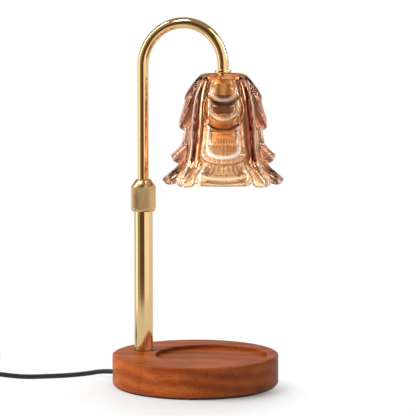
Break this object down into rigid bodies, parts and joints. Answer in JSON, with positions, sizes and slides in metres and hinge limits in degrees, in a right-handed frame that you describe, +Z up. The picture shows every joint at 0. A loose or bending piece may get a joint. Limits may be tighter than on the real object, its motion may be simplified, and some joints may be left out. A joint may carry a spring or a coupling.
{
  "type": "candle warmer lamp",
  "caption": "Table lamp that melts a jar candle from above: round wooden base, height-adjustable arched brass arm, petal glass shade, dimmer on the cord.",
  "frame": {"origin": "centre of the underside of the foot pad, on the surface that the lamp stands on", "axes": "+Z up; +X from the post towards the shade; +Y to the left of someone who looks along +X"},
  "size_m": [0.4375, 0.15, 0.3297],
  "materials": {
    "walnut": "satin lacquer",
    "pad_foam": "soft matte foam",
    "cover_board": "matte",
    "ballast_iron": "raw cast",
    "steel_screw": "zinc plated",
    "steel_plain": "zinc plated",
    "brass_dark": "dull",
    "brass_polished": "polished",
    "brass_satin": "fine straight knurl between polished chamfers",
    "nylon": "natural nylon",
    "cord_black": "smooth PVC sheath",
    "gasket_clear": "translucent silicone",
    "holder_ceramic": "unglazed",
    "contact_brass": "plain",
    "contact_steel": "plain",
    "bulb_ceramic": "matte",
    "bulb_mirror": "silvered on the inside",
    "bulb_glass": "clear",
    "amber_glass": "pressed amber glass",
    "dimmer_plastic": "fine satin moulding",
    "wheel_plastic": "ribbed",
    "board_green": "circuit board",
    "pot_black": "moulded",
    "boot_rubber": "matte",
    "plug_rubber": "satin moulded"
  },
  "bodies": {
    "root": {"wood_base": "walnut", "foot_pad": "pad_foam", "bottom_cover": "cover_board", "ballast_weight": "ballast_iron", "ballast_screws": "steel_screw", "cover_screws": "steel_screw", "post_nipple": "steel_plain", "nipple_washer": "steel_plain", "nipple_nut": "steel_plain", "post_seat_ring": "brass_dark", "post_foot_plug": "steel_plain", "post_tube": "brass_polished", "collet_sleeve": "nylon", "base_lead": "cord_black", "slack_lead": "cord_black", "cord_sleeve": "boot_rubber", "cord_to_dimmer": "cord_black", "cord_to_coil": "cord_black", "cord_coil": "cord_black", "cord_tail": "cord_black", "dimmer_base": "dimmer_plastic", "dimmer_lid": "dimmer_plastic", "dimmer_screws": "steel_screw", "dimmer_board": "board_green", "dimmer_pot": "pot_black", "dimmer_triac": "pot_black", "dimmer_boots": "boot_rubber", "plug_body": "plug_rubber", "plug_blades": "contact_brass"},
    "carriage": {"guide_bush": "nylon"},
    "arm": {"arch_tube": "brass_polished", "bush_clips": "steel_plain", "arm_lead": "cord_black", "shade_flange": "brass_polished", "upper_gasket": "gasket_clear", "lower_gasket": "gasket_clear", "socket_cup": "brass_polished", "cup_nut": "steel_plain", "lampholder": "holder_ceramic", "holder_contacts": "contact_brass", "glass_shade": "amber_glass"},
    "bulb": {"bulb_pins": "contact_steel", "bulb_base": "bulb_ceramic", "bulb_reflector": "bulb_mirror", "bulb_lens": "bulb_glass", "bulb_capsule": "bulb_glass"},
    "collar": {"lock_collar": "brass_satin"},
    "wheel": {"dimmer_wheel": "wheel_plastic"}
  },
  "joints": [
    {"name": "height_slide", "type": "slide", "parent": "root", "child": "carriage", "axis": [0, 0, 1], "range_m": [-0.06, 0.02], "deforming": ["slack_lead"]},
    {"name": "arm_swing", "type": "hinge", "parent": "carriage", "child": "arm", "pos_m": [-0.0502, 0, 0.12], "axis": [0, 0, 1], "range_deg": [-90, 90]},
    {"name": "collar_turn", "type": "hinge", "parent": "root", "child": "collar", "pos_m": [-0.0502, 0, 0.17], "axis": [0, 0, 1], "range_deg": [0, 270]},
    {"name": "bulb_twist", "type": "hinge", "parent": "arm", "child": "bulb", "pos_m": [0.0263, 0, 0.24], "axis": [0, 0, 1], "range_deg": [0, 18]},
    {"name": "dimmer_wheel_turn", "type": "hinge", "parent": "root", "child": "wheel", "pos_m": [-0.238, -0.0525, 0.0114], "axis": [0, 0, 1], "range_deg": [0, 270]}
  ]
}
